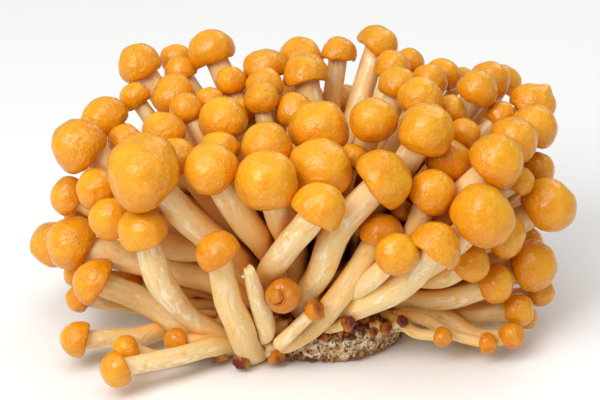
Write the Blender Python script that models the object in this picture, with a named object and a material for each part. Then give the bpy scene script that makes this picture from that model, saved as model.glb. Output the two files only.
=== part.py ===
"""Nameko mushroom bunch: a standing clump of round-capped mushrooms, still growing out of the
plug of compost that it was cut off with.

Metres, +Z up. The clump stands on the plug's flat cut face, on z = 0, with +X to its right
and +Y to its back, and the origin under the middle of its box. The tables are in millimetres,
measured from under the middle of the spread of caps. Each mushroom is a stem that leaves the
plug, and a cap on its end. Neighbours that grew from one foot are one solid, and the crowded
stems are eased apart until no two solids touch.
"""

from math import acos, atan2, cos, pi, sin
from typing import NamedTuple

import bmesh
import bpy
import numpy as np
from mathutils import Vector

MM = 0.001

# The compost plug, as its middle, its half width and half depth, the height of its wall and the
# rise of the dome over that wall. Higher powers give fuller shoulders and fuller corners on plan.
PLUG_MIDDLE = np.array([5.0, -1.5])
PLUG_HALF = np.array([24.0, 22.5])
PLUG_WALL = 5.0
PLUG_RISE = 8.0
PLUG_SQUARENESS = 2.6
PLUG_CORNERS = 2.8
PLUG_SIDES = 36
PLUG_ROWS = (0.80, 0.60, 0.42, 0.30, 0.20, 0.12, 0.05, 0.0)
PLUG_WALL_ROWS = ((0.99, 0.35), (0.93, 0.0))
PLUG_COLOUR = (0.62, 0.47, 0.30)

# The stems: how thick one is beside its cap, within limits, and what share of that its foot and
# its neck have. A stem leaves its foot mostly square to the plug, with handles that bend it.
STEM_SHARE = 0.27
STEM_LEAST = 1.3
STEM_MOST = 3.9
SNAPPED_STEM_WIDTH = 11.0
FOOT_SHARE = 0.80
NECK_SHARE = 0.88
NECK_DEPTH = 0.25
FOOT_SQUARE = 0.8
HANDLE = 0.36
SNAPPED_TIP = 0.6
SIDES = 8

# The feet: the room that one needs on the plug, and more for each mushroom it carries; how far
# those spread from its middle; and the length and the width of its rounded end.
FOOT_ROOM = 4.6
FOOT_ROOM_MORE = 0.9
FOOT_SPREAD = 0.8
FOOT_END = 0.9
FOOT_ROUND = 0.75
FOOT_ROUNDS = 120
FOOT_PUSH = 0.35
FOOT_PULL = 0.03

CAP_COLOUR = (0.85, 0.42, 0.06)
STEM_COLOUR = (0.86, 0.72, 0.45)

# The easing: points along each stem, those that mushrooms of one foot share, and those that the
# solid's rings are read at; the gap kept between round outlines, and to the plug; then the
# rounds, and how strongly each pushes, smooths, and pulls a cap back to its place. A cap gives
# way less than a stem does, both when they are pushed and when they are thinned.
POINTS = 22
SHARED_POINTS = 5
RING_POINTS = (0, 3, 8, 14, 21)
GAP = 0.85
SEAT = 0.2
FLOOR_GAP = 0.1
ROUNDS = 300
LOOK_AGAIN = 10
LOOK_PAST = 3.0
PUSH = 0.4
SMOOTHING = 3
SMOOTH = 0.45
CAP_STAYS = 0.97
GIVE_AT = (0, 1, 5, POINTS - 1, POINTS)
GIVE = (0.0, 0.1, 1.0, 0.6, 0.5)
CAP_SOFTNESS = 0.25
THINNING_ROUNDS = 30
THINNEST = 0.2


class Cap(NamedTuple):
    """One mushroom, by its cap: where its widest part is, how wide it is, its height over its
    width, how far it turns up from the line of its stem (below 0 turns it down), and where its
    stem leaves the plug, if that isn't straight below. A width of 0 is a snapped, bare stem."""

    x: float
    y: float
    z: float
    width: float
    tall: float = 0.80
    lift: float = 0.15
    root: tuple = None
    thick: float = 1.0


# Each row is one solid: the mushrooms that grew from one foot.
CLUMP = {
    "crown": [
        [Cap(-43, 30, 66, 12.4), Cap(-35, 30, 65, 9.7), Cap(-36, 40, 64, 9)],
        [Cap(-34, 18, 62, 12.2), Cap(-46, 20, 61, 8.5)],
        [Cap(-25, 32, 69, 13), Cap(-20, 22, 64, 9.3)],
        [Cap(-32, 6, 62, 10), Cap(-37, 0, 60, 12.3), Cap(-33, -12, 58, 11)],
        [Cap(-10, 28, 66, 12.3, tall=0.7), Cap(-11, 18, 65, 10.4)],
        [Cap(-26, 16, 62, 9), Cap(-22, 2, 62, 13.5), Cap(-17, 12, 61, 9)],
        [Cap(-11, 8, 65, 9.5), Cap(-2, 6, 61, 11)],
        [Cap(1, 38, 66, 13, tall=0.6), Cap(1, 22, 67, 13.3, tall=0.65)],
        [Cap(10, 36, 68, 10.4, tall=0.65), Cap(13, 52, 45, 12)],
        [Cap(5, -6, 62, 16, tall=0.7), Cap(19, -8, 66, 13)],
        [Cap(23, 38, 68, 12, tall=0.7, lift=-0.3), Cap(31, 36, 65, 9)],
        [Cap(26, 26, 67, 10.2), Cap(27, 14, 67, 10.6)],
        [Cap(36, 24, 64, 10.4), Cap(39, 34, 62, 10.6), Cap(45, 38, 59, 7)],
        [Cap(33, 4, 67, 12.2), Cap(43, 10, 62, 9), Cap(44, 2, 59, 9)],
        [Cap(34, -14, 65, 14.8)],
    ],
    "right": [
        [Cap(53, 26, 63, 11.6), Cap(58, 36, 59, 10), Cap(49, 14, 63, 11.7)],
        [Cap(64, 20, 58, 12.4), Cap(57, 14, 59, 9), Cap(62, 8, 57, 13.2)],
        [Cap(59, -3, 58, 13.4), Cap(66, 5, 46, 9.5), Cap(66, 15, 34, 11)],
        [Cap(52, -18, 58, 14.5), Cap(40, -10, 55, 12.3)],
        [Cap(67, -6, 41, 14.9)],
        [Cap(55, -14, 35, 12), Cap(60, -8, 49, 8)],
        [Cap(35, -20, 50, 12.7), Cap(19, -14, 41, 7)],
        [Cap(47, -26, 46, 17.2)],
        [Cap(45, -22, 32, 11), Cap(51, -20, 25, 11.3)],
        [Cap(63, -10, 22, 14.2), Cap(64, 4, 23, 9)],
        [Cap(67, -2, 11, 8.5), Cap(60, -14, 12, 9.5), Cap(63, -8, 6, 6.5)],
        [Cap(58, -22, 8, 7, root=(28, -7), lift=0.5)],
        [Cap(38, -24, 8, 5.5, root=(23, -14)), Cap(51, -26, 6, 6, root=(25, -13))],
        [Cap(37, -30, 40, 14, tall=0.65, root=(10, -19), lift=0.0, thick=1.1)],
    ],
    "front": [
        [Cap(-41, -28, 60, 19.8)],
        [Cap(-23, -26, 60, 14.2)],
        [Cap(-9, -30, 59, 16.2)],
        [Cap(-10, -14, 61, 14), Cap(-22, -12, 59, 11)],
        [Cap(6, -21, 58, 16.5), Cap(14, -11, 58, 8)],
        [Cap(4, -34, 55, 14.2, tall=0.65, root=(-10, -16), lift=-0.5, thick=1.15)],
        [Cap(22, -24, 56, 16.5, tall=0.7, root=(-3, -15), lift=-0.3, thick=1.1)],
        [Cap(-22, -36, 41, 11.8, tall=0.7, root=(-14, -19), lift=0.2)],
        [Cap(22, -22, 38, 12, root=(-3, -20), thick=1.1), Cap(28, -15, 42, 6.5, root=(2, -16))],
        [Cap(26, -33, 38, 12, root=(8, -10), thick=0.85)],
        [Cap(-14, -38, 38, 0, root=(-9, -20))],
        [Cap(-42, -30, 44, 13.3, tall=0.65, root=(-18, -12), lift=0.6)],
    ],
    "left": [
        [Cap(-53, 8, 58, 13.4), Cap(-48, 2, 57, 10)],
        [Cap(-59, -8, 56, 15.4)],
        [Cap(-55, -14, 49, 11.5), Cap(-64, -4, 42, 10)],
        [Cap(-51, -18, 42, 12), Cap(-62, -8, 31, 14.3)],
        [Cap(-62, 4, 32, 9), Cap(-69, 4, 22, 13), Cap(-63, -2, 17, 8)],
        [Cap(-55, -18, 23, 12.3, tall=0.65, root=(-18, -8), lift=-0.05, thick=1.1)],
        [Cap(-62, -8, 14, 8), Cap(-47, -6, 16, 6)],
        [Cap(-61, -26, 9, 10, tall=0.75, root=(-16, -14), lift=0.0)],
        [Cap(-49, -41, 8.5, 9.8, tall=0.75, root=(-13, -17), lift=0.0)],
        [Cap(-47, -32, 9, 7.5, root=(-15, -16)), Cap(-33, -24, 9, 7, root=(-17, -14))],
    ],
    "back": [
        [Cap(-56, 24, 38, 12), Cap(-44, 38, 34, 13), Cap(-50, 34, 20, 12)],
        [Cap(-30, 44, 44, 13), Cap(-36, 48, 24, 13), Cap(-40, 40, 8, 9)],
        [Cap(-16, 50, 46, 14), Cap(-20, 56, 26, 12), Cap(-14, 52, 8, 10)],
        [Cap(0, 50, 47, 13), Cap(-4, 58, 28, 13), Cap(12, 58, 26, 12)],
        [Cap(27, 48, 43, 13), Cap(28, 54, 25, 13)],
        [Cap(42, 42, 36, 12), Cap(44, 46, 22, 12), Cap(40, 38, 8, 10)],
        [Cap(56, 32, 36, 13), Cap(58, 30, 20, 12), Cap(54, 18, 8, 9)],
    ],
}

# The loose cap that snapped off and lodged among the front stems, its underside to the front.
LOOSE_CAP = Cap(-5, -31, 27, 9.4, tall=0.6)
LOOSE_FACING = np.array([0.1, 0.85, 0.35])
LOOSE_STUB = 5.0
LOOSE_STUB_RADIUS = 1.6
LOOSE_SEAT = 0.45


def unit(vectors):
    """Vectors of length 1, along the last axis."""
    return vectors / np.linalg.norm(vectors, axis=-1, keepdims=True)


def plug_outline(bearing):
    """How far the plug's outline swells or shrinks at a bearing, as a share of its half width."""
    return 1.0 + 0.04 * np.sin(2 * bearing + 0.6) + 0.03 * np.sin(5 * bearing + 2.0)


def plug_reach(directions):
    """The distance from the middle of the wall's top to the dome, along unit directions."""
    swell = plug_outline(np.arctan2(directions[..., 1], directions[..., 0]))
    flat = np.linalg.norm(directions[..., :2] / PLUG_HALF, ord=PLUG_CORNERS, axis=-1) / swell
    rise = np.abs(directions[..., 2]) / PLUG_RISE
    return (flat**PLUG_SQUARENESS + rise**PLUG_SQUARENESS) ** (-1 / PLUG_SQUARENESS)


def over_plug(points):
    """How far points lie out from the dome and its wall, nearly, and which way out is."""
    place = points - np.array([*PLUG_MIDDLE, PLUG_WALL])
    swell = plug_outline(np.arctan2(place[..., 1], place[..., 0]))
    halves = PLUG_HALF * swell[..., None]
    flat = np.linalg.norm(place[..., :2] / halves, ord=PLUG_CORNERS, axis=-1) + 1e-6
    rise = np.maximum(place[..., 2] / PLUG_RISE, 0.0)
    size = (flat**PLUG_SQUARENESS + rise**PLUG_SQUARENESS) ** (1 / PLUG_SQUARENESS)
    slope = np.empty_like(place)
    share = np.abs(place[..., :2] / halves) ** (PLUG_CORNERS - 1) * np.sign(place[..., :2])
    slope[..., :2] = flat[..., None] ** (PLUG_SQUARENESS - PLUG_CORNERS) * share / halves
    slope[..., 2] = rise ** (PLUG_SQUARENESS - 1) / PLUG_RISE
    slope *= size[..., None] ** (1 - PLUG_SQUARENESS)
    return (size - 1) / np.linalg.norm(slope, axis=-1), unit(slope)


def on_plug(points):
    """The points of the dome that lie in line with its middle and the given points."""
    middle = np.array([*PLUG_MIDDLE, PLUG_WALL])
    directions = unit(points - middle)
    directions[..., 2] = np.maximum(directions[..., 2], 0.02)
    directions = unit(directions)
    return middle + directions * plug_reach(directions)[..., None]


def spread_feet(wanted, room):
    """Feet on the dome near the wanted points, eased until each has its room."""
    feet = on_plug(wanted)
    for _ in range(FOOT_ROUNDS):
        apart = feet[:, None] - feet[None]
        distance = np.linalg.norm(apart, axis=2) + np.eye(len(feet)) * 99.0
        short = np.maximum(0.5 * (room[:, None] + room[None]) - distance, 0.0)
        push = (apart / distance[..., None] * short[..., None]).sum(axis=1)
        feet = on_plug(feet + FOOT_PUSH * push + FOOT_PULL * (wanted - feet))
    return feet


def stem_path(foot, out, centre, width, facing):
    """Points along a stem: it leaves its foot outwards and meets its cap square on."""
    neck = centre - facing * NECK_DEPTH * width
    handle = HANDLE * np.linalg.norm(neck - foot)
    t = np.linspace(0.0, 1.0, POINTS)[:, None]
    first = foot + out * handle
    last = neck - facing * handle
    return (
        (1 - t) ** 3 * foot + 3 * t * (1 - t) ** 2 * first + 3 * t**2 * (1 - t) * last + t**3 * neck
    )


def stem_radii(cap):
    """The radius at each point of a stem: narrow at the foot, full by the middle."""
    width = cap.width or SNAPPED_STEM_WIDTH
    full = min(max(STEM_SHARE * width * cap.thick, STEM_LEAST), STEM_MOST)
    along = np.linspace(0.0, 1.0, POINTS)
    return full * np.interp(along, (0.0, 0.35, 0.8, 1.0), (FOOT_SHARE, 1.0, 1.0, NECK_SHARE))


def near_pairs(points, radii, owner, tuft, index):
    """Pairs of points, of different mushrooms, that may come to touch."""
    square = (points**2).sum(axis=1)
    distance2 = square[:, None] + square[None] - 2 * points @ points.T
    reach = radii[:, None] + radii[None] + LOOK_PAST
    near = np.triu((distance2 < reach**2) & (owner[:, None] != owner[None]))
    shared = (tuft[:, None] == tuft[None]) & (
        np.minimum(index[:, None], index[None]) < SHARED_POINTS
    )
    return np.nonzero(near & ~shared)


def grow():
    """Every mushroom's stem points, radii and facing, with no two solids touching."""
    rows = [(zone, row) for zone, rows in CLUMP.items() for row in rows]
    caps = [cap for _, row in rows for cap in row]
    tuft_of = np.array([i for i, (_, row) in enumerate(rows) for _ in row])
    centre = np.array([cap[:3] for cap in caps], dtype=float)

    # One foot for each solid, near the mean of where its mushrooms would leave the plug.
    natural = on_plug(centre)
    for i, cap in enumerate(caps):
        if cap.root:
            natural[i] = root_on_plug(*cap.root)
    wanted = np.array([natural[tuft_of == i].mean(axis=0) for i in range(len(rows))])
    room = np.array([FOOT_ROOM + FOOT_ROOM_MORE * len(row) for _, row in rows])
    feet = spread_feet(wanted, room)

    points = np.zeros((len(caps) + 1, POINTS + 1, 3))
    radii = np.zeros((len(caps) + 1, POINTS + 1))
    facing = np.zeros((len(caps) + 1, 3))
    for i, cap in enumerate(caps):
        group = centre[tuft_of == tuft_of[i]]
        aside = centre[i] - group.mean(axis=0)
        foot = feet[tuft_of[i]]
        if len(group) > 1:
            foot = on_plug(foot + FOOT_SPREAD * unit(aside))
        out = over_plug(foot)[1]
        foot = foot + out * (SEAT + FOOT_END)
        line = unit(centre[i] - foot)
        up = np.array([0.0, 0.0, 1.0])
        facing[i] = unit(line + cap.lift * (up - line))
        start = unit(FOOT_SQUARE * out + (1 - FOOT_SQUARE) * line)
        points[i, :POINTS] = stem_path(foot, start, centre[i], max(cap.width, 6.0), facing[i])
        points[i, POINTS] = centre[i]
        radii[i, :POINTS] = stem_radii(cap)
        radii[i, POINTS] = 0.5 * cap.width

    # The loose cap is a short stub and a cap. It leans on its neighbours, so it is eased as if
    # it were a little smaller, and so comes nearer to them.
    loose = np.array(LOOSE_CAP[:3], dtype=float)
    facing[-1] = unit(LOOSE_FACING)
    along = np.linspace(-1.0, 0.0, POINTS)[:, None] * LOOSE_STUB
    points[-1, :POINTS] = loose + along * facing[-1]
    points[-1, POINTS] = loose
    radii[-1, :POINTS] = LOOSE_STUB_RADIUS
    radii[-1, POINTS] = 0.5 * LOOSE_CAP.width - LOOSE_SEAT

    points, radii = ease_apart(points, radii, np.append(tuft_of, len(rows)))
    radii[-1, POINTS] += LOOSE_SEAT
    return rows, points, radii, facing


def root_on_plug(x, y):
    """The point of the dome over a place on the plan."""
    flat = (np.array([x, y]) - PLUG_MIDDLE) / PLUG_HALF
    share = min(np.linalg.norm(flat, ord=PLUG_CORNERS), 1.0)
    rise = PLUG_RISE * (1 - share**PLUG_SQUARENESS) ** (1 / PLUG_SQUARENESS)
    return np.array([x, y, PLUG_WALL + rise])


def ease_apart(points, radii, tuft_of):
    """Moves the points of crowded stems and caps apart, then thins what still touches."""
    count, length = radii.shape
    start = points.copy()
    owner = np.repeat(np.arange(count), length)
    tuft = np.repeat(tuft_of, length)
    index = np.tile(np.arange(length), count)
    give = np.tile(np.interp(np.arange(length), GIVE_AT, GIVE), count)[:, None]
    flat_radii = radii.reshape(-1)
    for turn in range(ROUNDS):
        flat = points.reshape(-1, 3)
        if turn % LOOK_AGAIN == 0:
            a, b = near_pairs(flat, flat_radii, owner, tuft, index)
        apart = flat[a] - flat[b]
        distance = np.linalg.norm(apart, axis=1) + 1e-6
        short = np.maximum(flat_radii[a] + flat_radii[b] + GAP - distance, 0.0)
        push = apart / distance[:, None] * (PUSH * short)[:, None]
        move = np.zeros_like(flat)
        hits = np.zeros(len(flat))
        np.add.at(move, a, push)
        np.add.at(move, b, -push)
        np.add.at(hits, a, short > 0)
        np.add.at(hits, b, short > 0)
        flat = flat + give * move / np.maximum(hits, 1.0)[:, None] ** 0.5
        # Nothing sinks into the surface that the clump stands on, or into the plug.
        flat[:, 2] += np.maximum(flat_radii + FLOOR_GAP - flat[:, 2], 0.0) * (index > 0)
        clear, out = over_plug(flat)
        inside = flat_radii * np.minimum(index / 3, 1.0) + SEAT + FOOT_END - clear
        flat = flat + out * (0.5 * np.maximum(inside, 0.0) * (index > 0))[:, None]
        points = flat.reshape(points.shape)
        # Stems bend smoothly, caps stay near their places, and each neck follows its cap.
        shift = points - start
        shift[:, -1] *= CAP_STAYS
        shift[:, -2] = shift[:, -1]
        for _ in range(SMOOTHING):
            inner = 0.5 * (shift[:, :-3] + shift[:, 2:-1]) - shift[:, 1:-2]
            shift[:, 1:-2] += SMOOTH * inner
        points = start + shift

    flat = points.reshape(-1, 3)
    thin = flat_radii.copy()
    soft = np.where(index == POINTS, CAP_SOFTNESS, 1.0)
    a, b = near_pairs(flat, thin, owner, tuft, index)
    distance = np.linalg.norm(flat[a] - flat[b], axis=1)
    for _ in range(THINNING_ROUNDS):
        short = np.maximum(thin[a] + thin[b] + GAP - distance, 0.0) / (soft[a] + soft[b])
        cut = np.zeros_like(thin)
        np.maximum.at(cut, a, short * soft[a])
        np.maximum.at(cut, b, short * soft[b])
        thin = np.maximum(thin - cut, THINNEST * flat_radii)
    thin = thin.reshape(radii.shape)
    return points, thin


def material(name, colour, roughness):
    """A plain Principled material."""
    finish = bpy.data.materials.new(name)
    finish.use_nodes = True
    shader = finish.node_tree.nodes["Principled BSDF"]
    shader.inputs["Base Color"].default_value = (*colour, 1.0)
    shader.inputs["Roughness"].default_value = roughness
    shader.inputs["Metallic"].default_value = 0.0
    return finish


def skin(name, sides, rows, place, finishes, finish_from):
    """A closed mesh from a UV sphere: each of its vertices goes to place(row, turn), in
    millimetres, with row 0 and the last row at its poles. Faces from the row finish_from
    downwards take the second finish."""
    shell = bmesh.new()
    bmesh.ops.create_uvsphere(shell, u_segments=sides, v_segments=rows, radius=1.0)
    row_of = {}
    for vertex in shell.verts:
        turn = atan2(vertex.co.y, vertex.co.x)
        row_of[vertex] = round(rows * acos(max(-1.0, min(1.0, vertex.co.z))) / pi)
        vertex.co = Vector(place(row_of[vertex], turn)) * MM
    for face in shell.faces:
        face.material_index = int(min(row_of[vertex] for vertex in face.verts) >= finish_from)
    mesh = bpy.data.meshes.new(name)
    shell.to_mesh(mesh)
    shell.free()
    mesh.shade_smooth()
    for finish in finishes:
        mesh.materials.append(finish)
    return mesh


def cap_sections(centre, facing, side, other, half, tall):
    """The crown and the three rows of a cap: shoulder, widest part and the rim tucked under."""
    under = 1.2 * tall - 0.36
    crown = 2.0 * tall - under
    rows = ((0.55 * crown, 0.80), (0.0, 1.0), (-under, 1.0 - 0.55 * under))
    return centre + facing * half * crown, [
        (centre + facing * half * rise, side * half * wide, other * half * wide)
        for rise, wide in rows
    ]


def mushroom_mesh(name, cap, points, radii, facing, finishes):
    """One mushroom, from the crown of its cap down to its foot."""
    stem = points[:POINTS]
    side = unit(np.cross(facing, np.array([0.31, 0.22, 0.93]) + facing[::-1] * 0.2))
    sections = []
    crown = stem[-1] + facing * SNAPPED_TIP
    if cap.width:
        other = np.cross(facing, side)
        crown, sections = cap_sections(points[-1], facing, side, other, radii[-1], cap.tall)
    cap_rows = len(sections)
    tangents = unit(np.gradient(stem, axis=0))
    for k in reversed(RING_POINTS):
        along = tangents[k]
        side = unit(side - along * (side @ along))
        other = np.cross(along, side)
        radius = radii[max(0, k - 1) : min(k + 2, POINTS)].min() * (1.0 if k else FOOT_ROUND)
        sections.append((stem[k], side * radius, other * radius))
    foot = stem[0] - tangents[0] * FOOT_END

    def place(row, turn):
        if row == 0:
            return crown
        if row > len(sections):
            return foot
        centre, one, two = sections[row - 1]
        return centre + one * cos(turn) + two * sin(turn)

    return skin(name, SIDES, len(sections) + 1, place, finishes, cap_rows)


def plug_mesh(name, finish):
    """The plug: a lumpy dome over a short wall and a flat cut face."""
    middle = np.array([*PLUG_MIDDLE, PLUG_WALL])
    rises = [pi / 2 * share for share in PLUG_ROWS]
    last = len(rises) + len(PLUG_WALL_ROWS) + 1

    def place(row, turn):
        if row == 0:
            return middle + np.array([0.0, 0.0, PLUG_RISE])
        if row == last:
            return np.array([*PLUG_MIDDLE, 0.0])
        rise = rises[min(row, len(rises)) - 1]
        direction = np.array([cos(turn) * cos(rise), sin(turn) * cos(rise), sin(rise)])
        point = middle + direction * plug_reach(direction)
        if row > len(rises):
            drawn_in, height = PLUG_WALL_ROWS[row - len(rises) - 1]
            point[:2] = PLUG_MIDDLE + (point[:2] - PLUG_MIDDLE) * drawn_in
            point[2] = PLUG_WALL * height
        return point

    return skin(name, PLUG_SIDES, last, place, [finish], last)


def place_piece(name, mesh, collection):
    """A named object for a mesh."""
    piece = bpy.data.objects.new(name, mesh)
    collection.objects.link(piece)
    return piece


def join(first, partner, number):
    """Joins another mushroom of the same foot to the first, which it grew together with."""
    partner.hide_render = True
    partner.display_type = "WIRE"
    union = first.modifiers.new(f"join_{number}", "BOOLEAN")
    union.operation = "UNION"
    union.solver = "EXACT"
    union.object = partner


def stand_on_origin(pieces):
    """Moves every vertex so that the origin lies under the middle of the clump's box."""
    corners = np.array([vertex.co for piece in pieces for vertex in piece.data.vertices])
    middle = 0.5 * (corners.min(axis=0) + corners.max(axis=0))
    for piece in pieces:
        for vertex in piece.data.vertices:
            vertex.co.x -= middle[0]
            vertex.co.y -= middle[1]


def build():
    for thing in list(bpy.data.objects):
        bpy.data.objects.remove(thing, do_unlink=True)
    bunch = bpy.data.collections.new("nameko_mushroom_bunch")
    partners = bpy.data.collections.new("joined_mushrooms")
    bpy.context.scene.collection.children.link(bunch)
    bpy.context.scene.collection.children.link(partners)
    flesh = [material("cap", CAP_COLOUR, 0.2), material("stem", STEM_COLOUR, 0.5)]
    compost = material("compost", PLUG_COLOUR, 0.9)

    rows, points, radii, facing = grow()
    pieces = [place_piece("compost_plug", plug_mesh("compost_plug", compost), bunch)]
    numbers = {}
    member = 0
    for zone, row in rows:
        numbers[zone] = numbers.get(zone, 0) + 1
        kind = "mushroom" if len(row) == 1 else "tuft"
        name = f"{zone}_{kind}_{numbers[zone]:02d}" if row[0].width else "snapped_stem"
        first = None
        for n, cap in enumerate(row):
            shape = points[member], radii[member], facing[member]
            mesh = mushroom_mesh(name, cap, *shape, flesh)
            member += 1
            if first is None:
                first = place_piece(name, mesh, bunch)
                pieces.append(first)
            else:
                partner = place_piece(f"{name}_joined_{n}", mesh, partners)
                join(first, partner, n)
                pieces.append(partner)
    loose = mushroom_mesh("loose_cap", LOOSE_CAP, points[-1], radii[-1], facing[-1], flesh)
    pieces.append(place_piece("loose_cap", loose, bunch))
    stand_on_origin(pieces)


build()
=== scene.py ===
"""A bunch of nameko mushrooms: slimy amber caps on pale stems, on the cut plug of compost they
grew from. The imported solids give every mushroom's place; this script makes its real surface."""

from math import pi, tau
from typing import NamedTuple

import bmesh
import bpy
import numpy as np
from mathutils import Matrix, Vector, noise
from mathutils.bvhtree import BVHTree


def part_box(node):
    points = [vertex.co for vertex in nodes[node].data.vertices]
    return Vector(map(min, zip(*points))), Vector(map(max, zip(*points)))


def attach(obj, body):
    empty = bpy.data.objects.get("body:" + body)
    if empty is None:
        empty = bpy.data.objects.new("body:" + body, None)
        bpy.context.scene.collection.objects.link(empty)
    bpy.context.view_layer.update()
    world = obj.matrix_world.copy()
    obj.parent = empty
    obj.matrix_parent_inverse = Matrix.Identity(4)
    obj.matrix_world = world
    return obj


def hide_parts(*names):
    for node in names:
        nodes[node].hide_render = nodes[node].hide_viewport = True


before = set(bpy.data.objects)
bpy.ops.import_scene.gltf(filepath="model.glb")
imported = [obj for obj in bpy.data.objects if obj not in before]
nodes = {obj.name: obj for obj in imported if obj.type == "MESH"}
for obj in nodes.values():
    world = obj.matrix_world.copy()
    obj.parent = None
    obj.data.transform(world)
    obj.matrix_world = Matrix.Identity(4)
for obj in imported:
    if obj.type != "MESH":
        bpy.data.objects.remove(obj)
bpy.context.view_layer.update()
MM = 0.001


# Finishes of the mushrooms. A nameko's cap is wet, wrinkled amber skin; its stem is cream
# fibre with ochre stains; under the cap is a pale veil over the gills. Each finish reads two
# vectors kept on the mesh: "grain", a place in the flesh in millimetres, and "place", which
# says how far up the mushroom a point is, the mushroom's own tone, and how closed in it is by
# the bunch. The finishes paint shade where a point is closed in, and the cap's painted light
# and shade also follow how far up it is.


class Signal:
    """A value in a material's node tree, so that its arithmetic reads like any other."""

    def __init__(self, tree, socket=None):
        self.tree = tree
        self.socket = socket

    def node(self, kind, inputs, output=0, **settings):
        """Adds a node: its settings first, then its inputs by name or number."""
        made = self.tree.nodes.new(kind)
        for name, value in settings.items():
            setattr(made, name, value)
        for name, value in inputs.items():
            if isinstance(value, Signal):
                self.tree.links.new(value.socket, made.inputs[name])
            else:
                made.inputs[name].default_value = value
        return Signal(self.tree, made.outputs[output])

    def maths(self, operation, first, second=0.0, clamp=False):
        inputs = {0: first, 1: second}
        return self.node("ShaderNodeMath", inputs, operation=operation, use_clamp=clamp)

    def __add__(self, other):
        return self.maths("ADD", self, other)

    def __radd__(self, other):
        return self.maths("ADD", other, self)

    def __sub__(self, other):
        return self.maths("SUBTRACT", self, other)

    def __rsub__(self, other):
        return self.maths("SUBTRACT", other, self)

    def __mul__(self, other):
        return self.maths("MULTIPLY", self, other)

    def __rmul__(self, other):
        return self.maths("MULTIPLY", other, self)

    def __abs__(self):
        return self.maths("ABSOLUTE", self)

    def held(self):
        """This value kept between 0 and 1."""
        return self.maths("ADD", self, 0.0, clamp=True)

    def between(self, low, high):
        """A smooth step from 0 at low to 1 at high, which may be the smaller of the two."""
        inputs = {"Value": self, "From Min": low, "From Max": high}
        return self.node("ShaderNodeMapRange", inputs, interpolation_type="SMOOTHSTEP")

    def mix(self, first, second):
        """The colour that is first where this value is 0 and second where it is 1."""
        inputs = {0: self, 6: first, 7: second}
        return self.node("ShaderNodeMix", inputs, output=2, data_type="RGBA")

    def scaled(self, *by):
        """This vector with each part multiplied."""
        inputs = {0: self, 1: by}
        return self.node("ShaderNodeVectorMath", inputs, operation="MULTIPLY")

    def part(self, axis):
        """One part of this vector: 0, 1 or 2."""
        return self.node("ShaderNodeSeparateXYZ", {0: self}, output=axis)

    def noise(self, scale, detail=3.0, distortion=0.0):
        """Cloudy noise over this vector, near 0.5."""
        inputs = {
            "Vector": self,
            "Scale": scale,
            "Detail": detail,
            "Roughness": 0.55,
            "Distortion": distortion,
        }
        return self.node("ShaderNodeTexNoise", inputs)

    def bump(self, strength, distance):
        """The normal of a surface that rises by this height."""
        inputs = {"Height": self, "Strength": strength, "Distance": distance}
        return self.node("ShaderNodeBump", inputs)


def finish(name):
    """A new material, its bare tree to build signals in, and its Principled shader."""
    material = bpy.data.materials.new(name)
    material.use_nodes = True
    return material, Signal(material.node_tree), material.node_tree.nodes["Principled BSDF"]


def wire(start, shader, **links):
    """Sets a Principled shader's inputs: signals are linked, anything else is a value."""
    for name, value in links.items():
        socket = shader.inputs[name.replace("_", " ")]
        if isinstance(value, Signal):
            start.tree.links.new(value.socket, socket)
        else:
            socket.default_value = value


def kept(start, name):
    """A vector kept on the mesh under this name."""
    return start.node("ShaderNodeAttribute", {}, output=1, attribute_name=name)


def cap_skin():
    """Wet amber skin, finely wrinkled: painted light makes it yellower over the crown, and
    painted shade darkens it towards the rim, along its creases and where the bunch closes it in.
    """
    material, start, shader = finish("nameko_cap_skin")
    grain = kept(start, "grain")
    place = kept(start, "place")
    height = place.part(0)
    tone = place.part(1)
    occlusion_shade = place.part(2)
    cloud = grain.noise(0.17, 3.0, 0.4)
    slack = grain.noise(0.13, 2.0, 0.3).between(0.42, 0.58)
    fleck = grain.noise(0.75, 3.0, 1.6)
    fold = abs(grain.noise(0.42, 2.0, 1.2) - 0.5)
    crease = abs(grain.noise(1.1, 2.0, 1.5) - 0.5)
    # Partly the skin's own mottle and tone, partly painted light: the higher on the cap, the
    # brighter and yellower it is painted.
    painted_crown_light_and_mottle = (height * 0.8 + cloud * 1.0 - 0.45 - tone * 0.35).held()
    colour = painted_crown_light_and_mottle.mix((0.65, 0.195, 0.001, 1), (0.87, 0.435, 0.016, 1))
    colour = (fleck.between(0.52, 0.66) * 0.32).mix(colour, (0.94, 0.58, 0.045, 1))
    # Painted shade: a little deeper orange along the creases of the wrinkles.
    colour = (fold.between(0.05, 0.0) * 0.12).mix(colour, (0.82, 0.30, 0.004, 1))
    # Painted shade: deeper and darker towards the rim.
    colour = (height.between(0.40, 0.0) * 0.65).mix(colour, (0.59, 0.165, 0.001, 1))
    # Painted shade: deeper orange where the bunch closes the cap in, darker still deep inside.
    colour = (occlusion_shade.between(0.15, 0.65) * 0.7).mix(colour, (0.83, 0.285, 0.002, 1))
    colour = (occlusion_shade.between(0.65, 1.0) * 0.8).mix(colour, (0.60, 0.14, 0.001, 1))
    colour = (tone.between(1.0, 2.0) * 0.85).mix(colour, (0.58, 0.19, 0.010, 1))
    dents = grain.noise(0.33, 2.0, 0.5)
    wrinkles = (fold.between(0.0, 0.2) + crease.between(0.0, 0.2) * 0.14) * (slack * 0.7 + 0.3)
    wire(
        start,
        shader,
        Base_Color=colour,
        Roughness=(cloud * 0.12 + 0.15).held(),
        Specular_IOR_Level=0.44,
        Normal=(wrinkles * 0.55 + dents * 2.8).bump(0.9, 0.0002),
        Subsurface_Weight=0.30,
        Subsurface_Radius=(1.0, 0.35, 0.05),
        Subsurface_Scale=0.002,
    )
    return material


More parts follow.
